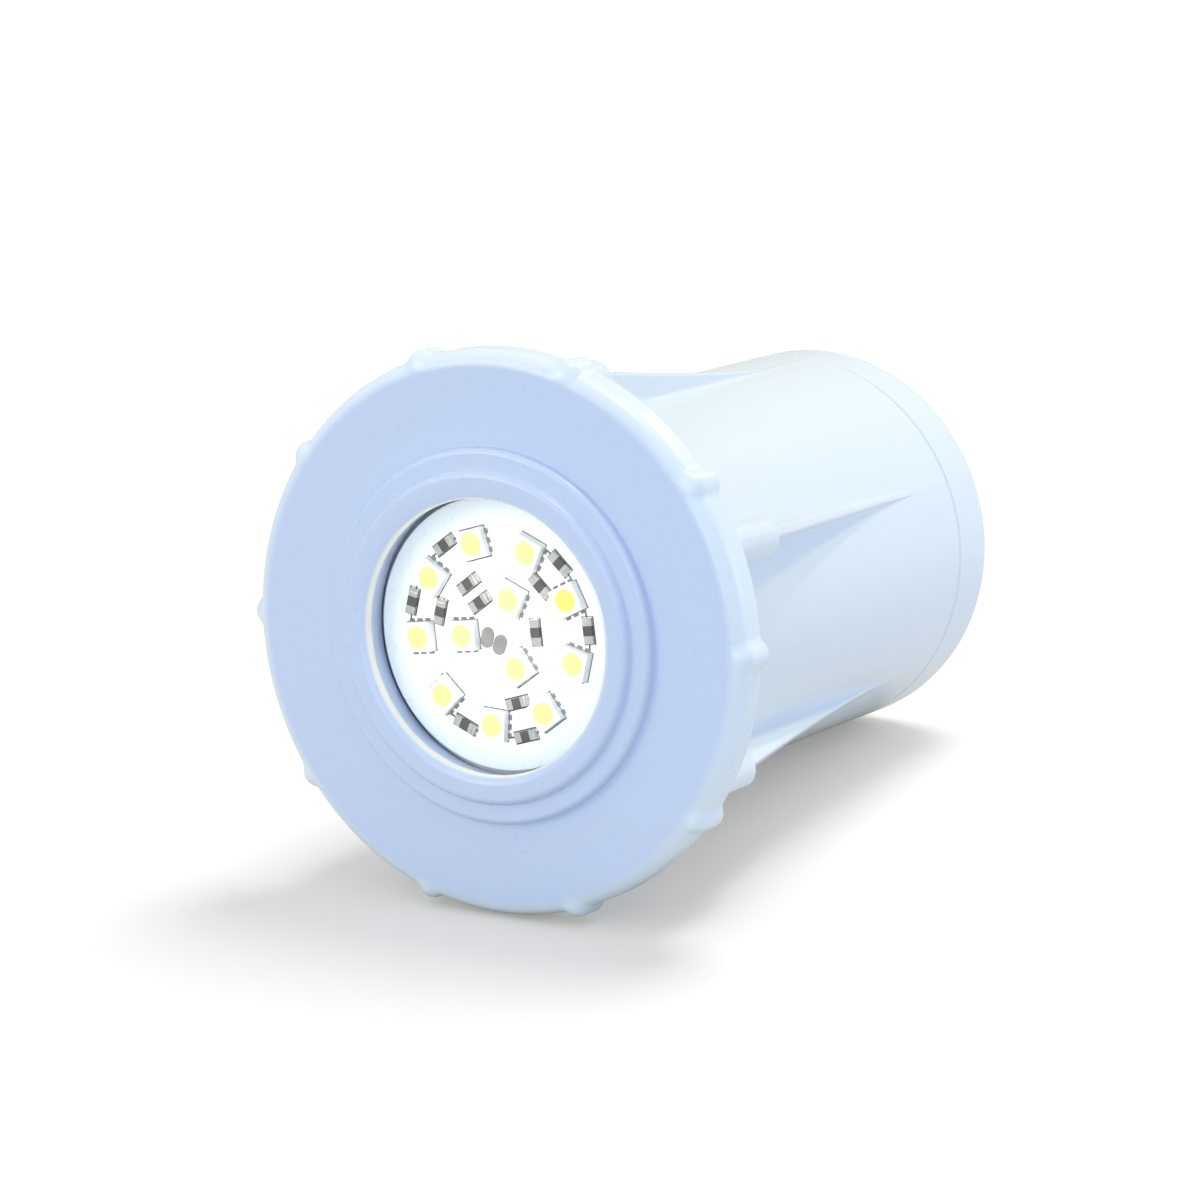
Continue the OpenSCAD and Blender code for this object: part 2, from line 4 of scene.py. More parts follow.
import bmesh
import bpy
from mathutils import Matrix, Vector


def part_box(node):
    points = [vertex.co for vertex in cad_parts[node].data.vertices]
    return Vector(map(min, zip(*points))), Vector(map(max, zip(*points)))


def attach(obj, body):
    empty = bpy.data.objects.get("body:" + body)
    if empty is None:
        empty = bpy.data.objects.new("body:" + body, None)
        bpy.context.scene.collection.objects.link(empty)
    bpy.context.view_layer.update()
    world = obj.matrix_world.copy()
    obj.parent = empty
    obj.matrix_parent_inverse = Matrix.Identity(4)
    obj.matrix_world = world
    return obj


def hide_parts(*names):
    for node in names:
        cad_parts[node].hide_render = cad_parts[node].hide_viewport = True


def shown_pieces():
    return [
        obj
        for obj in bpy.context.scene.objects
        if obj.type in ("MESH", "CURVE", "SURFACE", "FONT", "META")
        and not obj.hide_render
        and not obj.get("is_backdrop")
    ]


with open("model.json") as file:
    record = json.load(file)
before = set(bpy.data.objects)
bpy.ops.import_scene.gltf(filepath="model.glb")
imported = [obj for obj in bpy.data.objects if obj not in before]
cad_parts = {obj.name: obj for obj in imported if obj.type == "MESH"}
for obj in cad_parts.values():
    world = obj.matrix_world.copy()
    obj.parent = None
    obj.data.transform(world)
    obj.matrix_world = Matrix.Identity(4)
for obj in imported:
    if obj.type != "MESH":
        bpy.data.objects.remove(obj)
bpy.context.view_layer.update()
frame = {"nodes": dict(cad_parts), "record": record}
NODES = frame["nodes"]

MM = 0.001

# Sizes that more than one section uses
FLANGE_R = 48 * MM
OPENING_R = 23.4 * MM
CAP_ROUND = 5 * MM
THREAD_PITCH = 4 * MM
THREAD_TURNS = 1.5
THREAD_ROOT_W = 2.4 * MM
THREAD_CREST_W = 1.2 * MM
THREAD_START = 3.85 * MM
THREAD_HEIGHT = 1.4 * MM
THREAD_SUNK = 0.4 * MM      # how far a ridge's root lies inside its wall


# ---- Camera

def aim_camera():
    """A long lens in front of the light, to its right and a little above it."""
    azimuth = math.radians(31.45)
    elevation = math.radians(11.0)
    distance = 0.8397
    target = Vector((0.0119, 0.0083, 0.0048))
    back = Vector((
        math.sin(azimuth) * math.cos(elevation),
        -math.cos(azimuth) * math.cos(elevation),
        math.sin(elevation),
    ))
    camera_data = bpy.data.cameras.new("camera")
    camera_data.sensor_width = 36
    camera_data.lens = 150
    camera_data.clip_start = 0.05
    camera_data.clip_end = 50
    camera = bpy.data.objects.new("camera", camera_data)
    bpy.context.scene.collection.objects.link(camera)
    camera.location = target + back * distance
    camera.rotation_mode = "QUATERNION"
    camera.rotation_quaternion = (-back).to_track_quat("-Z", "Y")
    bpy.context.scene.camera = camera


# ---- Materials

def new_material(name):
    """A material with one Principled shader; returns it, its node tree and the shader."""
    material = bpy.data.materials.new(name)
    material.use_nodes = True
    tree = material.node_tree
    return material, tree, tree.nodes["Principled BSDF"]


def noise(tree, scale, detail=3.0, roughness=0.5, vector=None):
    """A noise texture in object space, where a scale of 1000 has features of about a millimetre."""
    node = tree.nodes.new("ShaderNodeTexNoise")
    node.inputs["Scale"].default_value = scale
    node.inputs["Detail"].default_value = detail
    node.inputs["Roughness"].default_value = roughness
    if vector is None:
        vector = tree.nodes.new("ShaderNodeTexCoord").outputs["Object"]
    tree.links.new(vector, node.inputs["Vector"])
    return node.outputs["Fac"]


def spread(tree, value, low, high):
    """Maps a 0 to 1 value to low to high."""
    node = tree.nodes.new("ShaderNodeMapRange")
    node.inputs["From Min"].default_value = 0.3
    node.inputs["From Max"].default_value = 0.7
    node.inputs["To Min"].default_value = low
    node.inputs["To Max"].default_value = high
    tree.links.new(value, node.inputs["Value"])
    return node.outputs["Result"]


def tint(tree, value, dark, light):
    """A colour between dark and light by a 0 to 1 value."""
    node = tree.nodes.new("ShaderNodeValToRGB")
    node.color_ramp.elements[0].position = 0.3
    node.color_ramp.elements[0].color = (*dark, 1)
    node.color_ramp.elements[1].position = 0.7
    node.color_ramp.elements[1].color = (*light, 1)
    tree.links.new(value, node.inputs["Fac"])
    return node.outputs["Color"]


def add_bump(tree, shader, height, strength, distance):
    """Raises and lowers the surface a little by a 0 to 1 height."""
    node = tree.nodes.new("ShaderNodeBump")
    node.inputs["Strength"].default_value = strength
    node.inputs["Distance"].default_value = distance
    tree.links.new(height, node.inputs["Height"])
    tree.links.new(node.outputs["Normal"], shader.inputs["Normal"])


def moulded_plastic(name, colour, gloss, grain=900, peel=0.06):
    """Moulded plastic: a faint mottle, uneven gloss and a fine orange-peel skin."""
    material, tree, shader = new_material(name)
    mottle = noise(tree, 420, detail=6, roughness=0.65)
    uneven = noise(tree, 700, detail=4)
    skin = noise(tree, grain, detail=2)
    dark = tuple(c * 0.99 for c in colour)
    tree.links.new(tint(tree, mottle, dark, colour), shader.inputs["Base Color"])
    tree.links.new(spread(tree, uneven, *gloss), shader.inputs["Roughness"])
    add_bump(tree, shader, skin, peel, 0.05 * MM)
    return material


def ring_plastic(name, face_tint_and_shade, lit_rim_colour, lit_bore_colour, gloss):
    """Moulded plastic with painted light: a whiter round rim as if lit from above, and a lighter, warmer
    bore wall as if lit by the white board; its face colour is partly its own bluish tint and partly painted
    shade.
    """
    material = moulded_plastic(name, face_tint_and_shade, gloss)
    tree = material.node_tree
    shader = tree.nodes["Principled BSDF"]
    across = tree.nodes.new("ShaderNodeVectorMath")
    across.operation = "MULTIPLY"
    across.inputs[1].default_value = (1, 0, 1)
    tree.links.new(tree.nodes.new("ShaderNodeTexCoord").outputs["Object"], across.inputs[0])
    radius = tree.nodes.new("ShaderNodeVectorMath")
    radius.operation = "LENGTH"
    tree.links.new(across.outputs["Vector"], radius.inputs[0])
    # painted light: the rim's round edge whiter as if lit from above, and the bore wall lighter and warmer
    # as if lit by the white board
    for start, stop, colour in (
        (FLANGE_R - 3.2 * MM, FLANGE_R - 0.8 * MM, lit_rim_colour),
        (OPENING_R + 0.5 * MM, OPENING_R + 0.1 * MM, lit_bore_colour),
    ):
        painted_light_zone = tree.nodes.new("ShaderNodeMapRange")
        painted_light_zone.interpolation_type = "SMOOTHSTEP"
        painted_light_zone.inputs["From Min"].default_value = start
        painted_light_zone.inputs["From Max"].default_value = stop
        tree.links.new(radius.outputs["Value"], painted_light_zone.inputs["Value"])
        mix = tree.nodes.new("ShaderNodeMix")
        mix.data_type = "RGBA"
        mix.inputs["B"].default_value = (*colour, 1)
        tree.links.new(painted_light_zone.outputs["Result"], mix.inputs["Factor"])
        tree.links.new(shader.inputs["Base Color"].links[0].from_socket, mix.inputs["A"])
        tree.links.new(mix.outputs["Result"], shader.inputs["Base Color"])
    return material


def metal(name, colour, gloss):
    """Worked metal: a base colour that varies a little and fine scratches in the gloss."""
    material, tree, shader = new_material(name)
    shader.inputs["Metallic"].default_value = 1.0
    patches = noise(tree, 400, detail=4)
    scratches = noise(tree, 2400, detail=6, roughness=0.7)
    dark = tuple(c * 0.8 for c in colour)
    tree.links.new(tint(tree, patches, dark, colour), shader.inputs["Base Color"])
    tree.links.new(spread(tree, scratches, *gloss), shader.inputs["Roughness"])
    add_bump(tree, shader, scratches, 0.2, 0.03 * MM)
    return material


def rubber(name, colour):
    """Soft matt rubber or silicone: cloudy patches and a fine grain."""
    material, tree, shader = new_material(name)
    grain = noise(tree, 1800, detail=5)
    light = tuple(c * 1.5 for c in colour)
    tree.links.new(tint(tree, noise(tree, 300), colour, light), shader.inputs["Base Color"])
    tree.links.new(spread(tree, grain, 0.55, 0.75), shader.inputs["Roughness"])
    add_bump(tree, shader, grain, 0.3, 0.04 * MM)
    return material


def clear_window(name):
    """Clear polycarbonate as a thin window: mostly see-through, with a mirror sheen on its outer faces."""
    material, tree, shader = new_material(name)
    tree.nodes.remove(shader)
    clear = tree.nodes.new("ShaderNodeBsdfTransparent")
    clear.inputs["Color"].default_value = (0.97, 0.99, 1.0, 1)
    mirror = tree.nodes.new("ShaderNodeBsdfGlossy")
    mirror.inputs["Roughness"].default_value = 0.03
    fresnel = tree.nodes.new("ShaderNodeFresnel")
    fresnel.inputs["IOR"].default_value = 1.49
    # Only the faces towards the eye mirror: from inside, a slanting ray would be reflected whole
    outer_face = tree.nodes.new("ShaderNodeMath")
    outer_face.operation = "SUBTRACT"
    outer_face.inputs[0].default_value = 1.0
    tree.links.new(tree.nodes.new("ShaderNodeNewGeometry").outputs["Backfacing"], outer_face.inputs[1])
    share = tree.nodes.new("ShaderNodeMath")
    share.operation = "MULTIPLY"
    tree.links.new(fresnel.outputs["Fac"], share.inputs[0])
    tree.links.new(outer_face.outputs["Value"], share.inputs[1])
    mix = tree.nodes.new("ShaderNodeMixShader")
    tree.links.new(share.outputs["Value"], mix.inputs["Fac"])
    tree.links.new(clear.outputs["BSDF"], mix.inputs[1])
    tree.links.new(mirror.outputs["BSDF"], mix.inputs[2])
    tree.links.new(mix.outputs["Shader"], tree.nodes["Material Output"].inputs["Surface"])
    return material


MATERIALS = {
    "white_abs": moulded_plastic("white_abs", (0.80, 0.88, 0.96), gloss=(0.18, 0.22)),
    # ring_abs: a face colour that is partly painted shade, with a painted lit rim and a painted lit bore
    # wall
    "ring_abs": ring_plastic(
        "ring_abs", (0.62, 0.71, 0.93), (0.80, 0.89, 0.97), (0.90, 0.90, 0.84), gloss=(0.27, 0.31),
    ),
    "clear_lens": clear_window("clear_lens"),
    "seal_rubber": rubber("seal_rubber", (0.02, 0.02, 0.022)),
    "gasket_silicone": rubber("gasket_silicone", (0.55, 0.57, 0.58)),
    "board_white": moulded_plastic(
        "board_white", (0.86, 0.90, 0.92), gloss=(0.25, 0.35), grain=2500, peel=0.1,
    ),
    "led_white": moulded_plastic("led_white", (0.90, 0.90, 0.90), gloss=(0.35, 0.45), grain=2500),
    "phosphor_yellow": moulded_plastic("phosphor_yellow", (0.86, 0.93, 0.30), gloss=(0.2, 0.3), grain=3000),
    "phosphor_amber": moulded_plastic("phosphor_amber", (0.96, 0.74, 0.16), gloss=(0.2, 0.3), grain=3000),
    "tinned_metal": metal("tinned_metal", (0.34, 0.34, 0.35), (0.3, 0.5)),
    "solder": metal("solder", (0.86, 0.85, 0.82), (0.25, 0.45)),
    "resistor_black": moulded_plastic("resistor_black", (0.075, 0.075, 0.075), gloss=(0.3, 0.5), grain=3000),
    "pad_grey": metal("pad_grey", (0.42, 0.42, 0.42), (0.45, 0.6)),
    # also the frames of painted shade around the board's packages
    "track_copper": metal("track_copper", (0.16, 0.15, 0.15), (0.4, 0.55)),
    "thermal_blue": rubber("thermal_blue", (0.20, 0.34, 0.52)),
    "sink_aluminium": metal("sink_aluminium", (0.66, 0.68, 0.70), (0.3, 0.5)),
    "carrier_grey": moulded_plastic("carrier_grey", (0.55, 0.57, 0.60), gloss=(0.4, 0.55)),
    "steel_zinc": metal("steel_zinc", (0.66, 0.67, 0.68), (0.22, 0.4)),
    "standoff_brass": metal("standoff_brass", (0.72, 0.54, 0.22), (0.25, 0.4)),
    "fr4_green": moulded_plastic("fr4_green", (0.02, 0.16, 0.06), gloss=(0.25, 0.35), grain=2500),
    "rectifier_epoxy": moulded_plastic("rectifier_epoxy", (0.02, 0.02, 0.022), gloss=(0.4, 0.6)),
    "capacitor_sleeve": moulded_plastic("capacitor_sleeve", (0.02, 0.04, 0.14), gloss=(0.15, 0.25)),
    "terminal_green": moulded_plastic("terminal_green", (0.04, 0.24, 0.10), gloss=(0.35, 0.5)),
    "wire_red": moulded_plastic("wire_red", (0.55, 0.03, 0.02), gloss=(0.25, 0.4)),
    "wire_black": moulded_plastic("wire_black", (0.015, 0.015, 0.015), gloss=(0.25, 0.4)),
    "gland_nylon": moulded_plastic("gland_nylon", (0.72, 0.75, 0.78), gloss=(0.35, 0.5)),
}


def dress_cad_nodes():
    """Gives every carried-over CAD node the material of its slot."""
    for row in frame["record"]["subparts"]:
        node = NODES[row["node"]]
        node.data.materials.clear()
        node.data.materials.append(MATERIALS[row["material_slot"]])


# Edge widths in millimetres
SOFT_EDGES = {
    "led_packages": 0.12,
    "resistor_bodies": 0.06,
    "resistor_solder": 0.12,
    "led_leads": 0.06,
    "wire_pads": 0.12,
    "gland_body": 0.3,
    "gland_nut": 0.3,
    "heat_sink": 0.15,
    "standoffs": 0.2,
    "input_terminal": 0.2,
    "gland_locknut": 0.3,
}


def soften_edges():
    """Rounds the sharp edges of CAD nodes, as moulding, sawing or stamping leaves them."""
    for node_name, width in SOFT_EDGES.items():
        bevel = NODES[node_name].modifiers.new("edges", "BEVEL")
        bevel.width = width * MM
        bevel.segments = 2
        bevel.limit_method = "ANGLE"
        bevel.angle_limit = math.radians(40)


# ---- Mesh helpers. Sections are drawn in the plane across the axis; depth runs along +Y.

SHARP_ANGLE = 38        # degrees; edges that turn more than this stay crisp


def at_clock(angle, radius, across=0.0):
    """(x, z) of a point by its clock angle (0 is up, clockwise from the front), radius and offset across."""
    s, c = math.sin(angle), math.cos(angle)
    return radius * s + across * c, radius * c - across * s


def circle_like(ring, radius, depth):
    """A round ring at a depth with its points at the same angles as those of another ring."""
    points = []
    for x, _, z in ring:
        scale = radius / math.hypot(x, z)
        points.append((x * scale, depth, z * scale))
    return points


def add_rings(builder, rings):
    """Joins rings of equally many points with quads, and the last ring to the first."""
    rows = [[builder.verts.new(p) for p in ring] for ring in rings]
    for a, b in zip(rows, rows[1:] + rows[:1]):
        for i in range(len(a)):
            j = (i + 1) % len(a)
            builder.faces.new((a[i], a[j], b[j], b[i]))


def add_thread(builder, root_r, crest_r, start):
    """A right-handed ridge around the axis, with soft corners, between root_r and crest_r."""
    steps_per_turn = 96
    # Height as a share of the ridge's, and offset along the axis as a share of the width at that height
    section = [(0.0, -0.5), (0.75, -0.30), (1.0, -0.18), (1.0, 0.18), (0.75, 0.30), (0.0, 0.5)]
    rows = []
    for i in range(round(THREAD_TURNS * steps_per_turn) + 1):
        turn = 2 * math.pi * i / steps_per_turn
        row = []
        for out, side in section:
            r = root_r + (crest_r - root_r) * out
            width = THREAD_ROOT_W + (THREAD_CREST_W - THREAD_ROOT_W) * out
            y = start + THREAD_PITCH * i / steps_per_turn + side * width
            row.append(builder.verts.new((r * math.cos(turn), y, -r * math.sin(turn))))
        rows.append(row)
    for a, b in zip(rows, rows[1:]):
        for k in range(len(section)):
            m = (k + 1) % len(section)
            builder.faces.new((a[k], b[k], b[m], a[m]))
    builder.faces.new(rows[0])
    builder.faces.new(list(reversed(rows[-1])))


def finish_piece(name, builder, material, body, *nodes):
    """Turns a bmesh into a piece that rides on a body and stands for any CAD nodes named."""
    bmesh.ops.recalc_face_normals(builder, faces=builder.faces)
    limit = math.radians(SHARP_ANGLE)
    for face in builder.faces:
        face.smooth = True
    for edge in builder.edges:
        if len(edge.link_faces) == 2 and edge.calc_face_angle() > limit:
            edge.smooth = False
    mesh = bpy.data.meshes.new(name)
    builder.to_mesh(mesh)
    builder.free()
    piece = bpy.data.objects.new(name, mesh)
    bpy.context.scene.collection.objects.link(piece)
    mesh.materials.append(MATERIALS[material])
    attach(piece, body)
    if nodes:
        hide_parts(*nodes)


# ---- Wall sleeve

RIBS = 6
RIB_PHASE = math.radians(6)
RIB_LENGTH = 84 * MM
RIB_HEIGHT = 10 * MM
RIB_HOLLOW = 1.35
RIB_FRONT_W = 2.4 * MM
RIB_TIP_W = 1 * MM
RIB_CROWN = 0.45 * MM
RIB_FOOT = 0.7 * MM
LUG_R = 3.6 * MM
LUG_END = 17.9 * MM
LUG_AXIS = 5.6 * MM        # height of the middle of the lug's round back above the barrel
DRAFT = 0.4 * MM
BORE_R = 31.5 * MM
MOUTH_R = BORE_R + 1.2 * MM
MOUTH_DEPTH = 3 * MM
SHOULDER_R = 25.5 * MM
SHOULDER_FRONT = 17.5 * MM
SHOULDER_REAR = 21.5 * MM
SEAM_CHAMFER = 0.3 * MM


def rib_size(depth):
    """Half width, height and crown radius of a rib or of the lug at its front."""
    share = min(max(depth / RIB_LENGTH, 0.0), 1.0)
    half = (RIB_FRONT_W + (RIB_TIP_W - RIB_FRONT_W) * share) / 2
    height = RIB_HEIGHT * (1 - share) ** RIB_HOLLOW
    past_lug = max(depth - LUG_END, 0.0)
    if past_lug < LUG_R:
        lug_half = math.sqrt(LUG_R ** 2 - past_lug ** 2)
        if lug_half > half:
            return lug_half, LUG_AXIS + lug_half, lug_half
    return half, height, min(RIB_CROWN, half)


def rib_outline(half, height, crown):
    """Points (across, up) over a rib: a hollow foot, a straight side and a round crown on both sides."""
    steps = 6
    foot = min(RIB_FOOT, height / 2)
    crown = min(crown, height / 2) if crown < half else half
    left = []
    for k in range(steps + 1):
        turn = math.pi / 2 * k / steps
        left.append((-half - foot + foot * math.sin(turn), foot - foot * math.cos(turn)))
    for k in range(steps + 1):
        turn = math.pi / 2 * k / steps
        left.append((-half + crown - crown * math.cos(turn), height - crown + crown * math.sin(turn)))
    right = [(-across, up) for across, up in reversed(left)]
    return left + right


def sleeve_ring(depth, barrel_r):
    """One section of the sleeve's outside: six ribs with the barrel between them."""
    arc_steps = 22
    outline = rib_outline(*rib_size(depth))
    reach = math.asin(outline[-1][0] / barrel_r)
    ring = []
    for i in range(RIBS):
        angle = RIB_PHASE + i * 2 * math.pi / RIBS
        for across, up in outline:
            x, z = at_clock(angle, math.sqrt(barrel_r ** 2 - across ** 2) + up, across)
            ring.append((x, depth, z))
        for k in range(1, arc_steps):
            gap = 2 * math.pi / RIBS - 2 * reach
            x, z = at_clock(angle + reach + gap * k / arc_steps, barrel_r)
            ring.append((x, depth, z))
    return ring


def build_wall_sleeve():
    """Ribbed outside, then the seam, the bore with its inner shoulder, and the mouth for the O-ring."""
    low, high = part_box("wall_sleeve")
    barrel_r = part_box("rear_cap")[1].x
    front, rear = low.y, high.y
    lug_steps = [LUG_END + LUG_R * math.sin(math.radians(a)) for a in range(0, 91, 8)]
    rib_start = LUG_END + LUG_R
    rib_steps = [rib_start + (RIB_LENGTH - rib_start) * k / 40 for k in range(1, 40)]
    lug_sides = [front + 0.3 * MM, 4 * MM, 9 * MM, 14 * MM]
    rib_end = RIB_LENGTH * 0.9995
    depths = [front, *lug_sides, *lug_steps, *rib_steps, rib_end]
    rings = []
    for depth in depths:
        draft = DRAFT * (1 - max(depth, 0) / RIB_LENGTH)
        rings.append(sleeve_ring(depth, barrel_r + draft))
    last = rings[-1]
    for radius, depth in (
        (barrel_r, rear - SEAM_CHAMFER), (barrel_r - SEAM_CHAMFER, rear),
        (BORE_R, rear), (BORE_R, SHOULDER_REAR), (SHOULDER_R, SHOULDER_REAR),
        (SHOULDER_R, SHOULDER_FRONT), (BORE_R, SHOULDER_FRONT), (BORE_R, MOUTH_DEPTH),
        (MOUTH_R, MOUTH_DEPTH), (MOUTH_R, front),
    ):
        rings.append(circle_like(last, radius, depth))
    builder = bmesh.new()
    add_rings(builder, rings)
    add_thread(builder, BORE_R + THREAD_SUNK, BORE_R - THREAD_HEIGHT, THREAD_START + THREAD_PITCH / 2)
    finish_piece("wall_sleeve_body", builder, "white_abs", "sleeve", "wall_sleeve")


# ---- Face ring

FACE_DEPTH = 3.2 * MM           # the flat face lies this far behind the boss's front
FLANGE_ROUND = 3 * MM
BACK_ROUND = 0.6 * MM
SEAT_INNER_R = 45.6 * MM
SEAT_RECESS = 0.8 * MM
GRIPS = 10
GRIP_PHASE = math.radians(17)
GRIP_PITCH = 2 * math.pi / GRIPS
GRIP_REACH = math.radians(5.2)  # half the angle in which a grip can shape the rim
GRIP_R = 2.6 * MM
GRIP_PROUD = 1.3 * MM
GRIP_BLEND = 0.9 * MM
SPIGOT_R = 29.7 * MM
SPIGOT_END = 11.5 * MM
SPIGOT_CHAMFER = 0.5 * MM
MODULE_BORE_R = 25.5 * MM
MODULE_BORE_Y = -3.8 * MM
LENS_SEAT_R = 24.2 * MM
LENS_SEAT_Y = -8.1 * MM
LIP_ROUND = 1.8 * MM
HIGH_STEP_R = 28.2 * MM
HIGH_ROUND = 1.2 * MM
LOW_STEP_R = 31.8 * MM
LOW_ROUND = 1 * MM
LOW_STEP_H = 1.7 * MM
CORNER_FILL = 0.35 * MM         # soft inside corner at the foot of each step
STEP_FOOT = 0.4 * MM
FLAT_MIDDLE_R = 38 * MM
FLAT_EDGE = 1.5 * MM            # the flat ends this far before the rim's round edge


def arc(cr, cy, radius, start, stop, steps):
    """Points (r, y) on an arc; angles in degrees from outward (+r) towards the rear (+y)."""
    points = []
    for k in range(steps + 1):
        turn = math.radians(start + (stop - start) * k / steps)
        points.append((cr + radius * math.cos(turn), cy + radius * math.sin(turn)))
    return points


def grip_rise(across, r, y, out_r, out_y, front):
    """How far a point of the rim moves out along (out_r, out_y) to lie on the rim and its grip, blended."""
    axis_r = FLANGE_R + GRIP_PROUD - GRIP_R

    def gap(step):
        pr, py = r + out_r * step, y + out_y * step
        centre_y = min(max(py, front), -BACK_ROUND)
        grip = math.sqrt((pr - axis_r) ** 2 + across ** 2 + (py - centre_y) ** 2) - GRIP_R
        near = max(GRIP_BLEND - abs(step - grip), 0.0) / GRIP_BLEND
        return min(step, grip) - near * near * GRIP_BLEND / 4

    near_step, far_step = 0.0, 3 * MM
    if gap(near_step) > -1e-9:
        return 0.0
    for _ in range(22):
        middle = (near_step + far_step) / 2
        if gap(middle) < 0:
            near_step = middle
        else:
            far_step = middle
    return near_step


def ring_angles():
    """Clock angles around the ring: close together over each grip and wider between them."""
    angles = []
    for i in range(GRIPS):
        middle = GRIP_PHASE + i * GRIP_PITCH
        angles += [middle - GRIP_REACH + 2 * GRIP_REACH * k / 26 for k in range(27)]
        rest = GRIP_PITCH - 2 * GRIP_REACH
        angles += [middle + GRIP_REACH + rest * k / 12 for k in range(1, 12)]
    return angles


def plain_rings(profile, angles):
    """Round rings at the points (r, y) of a profile."""
    return [[(r * math.sin(a), y, r * math.cos(a)) for a in angles] for r, y in profile]


def gripped_ring(r, y, out_r, out_y, front, angles):
    """A ring at (r, y) whose points move out along (out_r, out_y) over the grips."""
    ring = []
    for a in angles:
        off = (a - GRIP_PHASE + GRIP_PITCH / 2) % GRIP_PITCH - GRIP_PITCH / 2
        rise = grip_rise(r * math.sin(off), r * math.cos(off), y, out_r, out_y, front)
        pr, py = r + rise * out_r, y + rise * out_y
        ring.append((pr * math.sin(a), py, pr * math.cos(a)))
    return ring


def build_face_ring():
    """Bore, stepped boss, flat face, gripped rim, rear seat and spigot, as rings around the axis."""
    top_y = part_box("face_ring")[0].y
    face_y = top_y + FACE_DEPTH
    grip_front = face_y + FLANGE_ROUND
    round_r = FLANGE_R - FLANGE_ROUND
    inside = [
        (SPIGOT_R - SPIGOT_CHAMFER, SPIGOT_END), (MODULE_BORE_R, SPIGOT_END), (MODULE_BORE_R, MODULE_BORE_Y),
        (LENS_SEAT_R, MODULE_BORE_Y), (LENS_SEAT_R, LENS_SEAT_Y), (OPENING_R, LENS_SEAT_Y),
    ]
    steps = [
        *arc(OPENING_R + LIP_ROUND, top_y + LIP_ROUND, LIP_ROUND, 180, 270, 9),
        *arc(HIGH_STEP_R - HIGH_ROUND, top_y + HIGH_ROUND, HIGH_ROUND, 270, 355, 8),
        *arc(HIGH_STEP_R + STEP_FOOT, face_y - LOW_STEP_H - CORNER_FILL, CORNER_FILL, 175, 95, 4),
        *arc(LOW_STEP_R - LOW_ROUND, face_y - LOW_STEP_H + LOW_ROUND, LOW_ROUND, 270, 355, 8),
        *arc(LOW_STEP_R + STEP_FOOT, face_y - CORNER_FILL, CORNER_FILL, 175, 95, 4),
    ]
    flat = [(FLAT_MIDDLE_R, face_y), (round_r - FLAT_EDGE, face_y)]
    behind = [
        (SEAT_INNER_R, 0.0), (SEAT_INNER_R - SEAT_RECESS, -SEAT_RECESS), (SPIGOT_R, -SEAT_RECESS),
        (SPIGOT_R, SPIGOT_END - SPIGOT_CHAMFER),
    ]
    angles = ring_angles()
    rings = plain_rings(inside + steps + flat, angles)
    for r, y in arc(round_r, grip_front, FLANGE_ROUND, 270, 360, 16):
        out_r, out_y = (r - round_r) / FLANGE_ROUND, (y - grip_front) / FLANGE_ROUND
        rings.append(gripped_ring(r, y, out_r, out_y, grip_front, angles))
    side = [(FLANGE_R, y * MM) for y in (-3.2, -2.4, -1.6, -1.1, -0.6)]
    back_edge = arc(FLANGE_R - BACK_ROUND, -BACK_ROUND, BACK_ROUND, 0, 90, 4)[1:]
    for r, y in side + back_edge:
        rings.append(gripped_ring(r, y, 1.0, 0.0, grip_front, angles))
    rings += plain_rings(behind, angles)
    builder = bmesh.new()
    add_rings(builder, rings)
    add_thread(builder, SPIGOT_R - THREAD_SUNK, SPIGOT_R + THREAD_HEIGHT, THREAD_START)
    finish_piece("face_ring_body", builder, "ring_abs", "face_ring", "face_ring")


# ---- Tracks on the LED board, and painted shade in the gaps around its packages

OUTER_LEDS = 9
STRINGS = 3                 # each string has three outer LEDs and one inner LED
LED_PHASE = math.radians(22.5)
LED_STEP = 2 * math.pi / OUTER_LEDS
STRING_STEP = 2 * math.pi / STRINGS
OUTER_LED_R = 15.6 * MM
INNER_LED_R = 6.7 * MM
LED_HALF = 2.5 * MM
OUTER_CHIP_R = 17.7 * MM
MIDDLE_CHIP_R = 12 * MM
INNER_CHIPS = ((9.9 * MM, 322.5), (6.2 * MM, 322.5), (7.3 * MM, 82.5))    # radius and clock angle
CHIP_HALF_W = 0.85 * MM
CHIP_HALF_LEN = 2.2 * MM
DARK_STRIP_W = 0.28 * MM
DARK_STRIP_T = 0.05 * MM


def add_strip(builder, points, closed, face_y):
    """A flat dark strip along points (x, z) on the board's face: a track, and also a frame of painted shade.
    """
    count = len(points)
    rows = []
    for i, (x, z) in enumerate(points):
        before = points[i - 1] if closed or i else points[i]
        after = points[(i + 1) % count] if closed or i < count - 1 else points[i]
        along = Vector((after[0] - before[0], after[1] - before[1])).normalized()
        side = Vector((-along.y, along.x)) * DARK_STRIP_W / 2
        top, bottom = face_y - DARK_STRIP_T, face_y + DARK_STRIP_T
        corners = ((1, bottom), (1, top), (-1, top), (-1, bottom))
        rows.append([builder.verts.new((x + side.x * k, y, z + side.y * k)) for k, y in corners])
    for i in range(count if closed else count - 1):
        a, b = rows[i], rows[(i + 1) % count]
        for k in range(4):
            m = (k + 1) % 4
            builder.faces.new((a[k], b[k], b[m], a[m]))
    if not closed:
        builder.faces.new(rows[0])
        builder.faces.new(list(reversed(rows[-1])))


def gap_shade_frame(builder, radius, angle, half_out, half_across, face_y):
    """A dark rectangular strip around a package or a chip: painted shade in the gap at its base, partly also
    the solder mask's edge.
    """
    corners = ((1, 1), (1, -1), (-1, -1), (-1, 1))
    points = [at_clock(angle, radius + half_out * u, half_across * v) for u, v in corners]
    add_strip(builder, points, True, face_y)


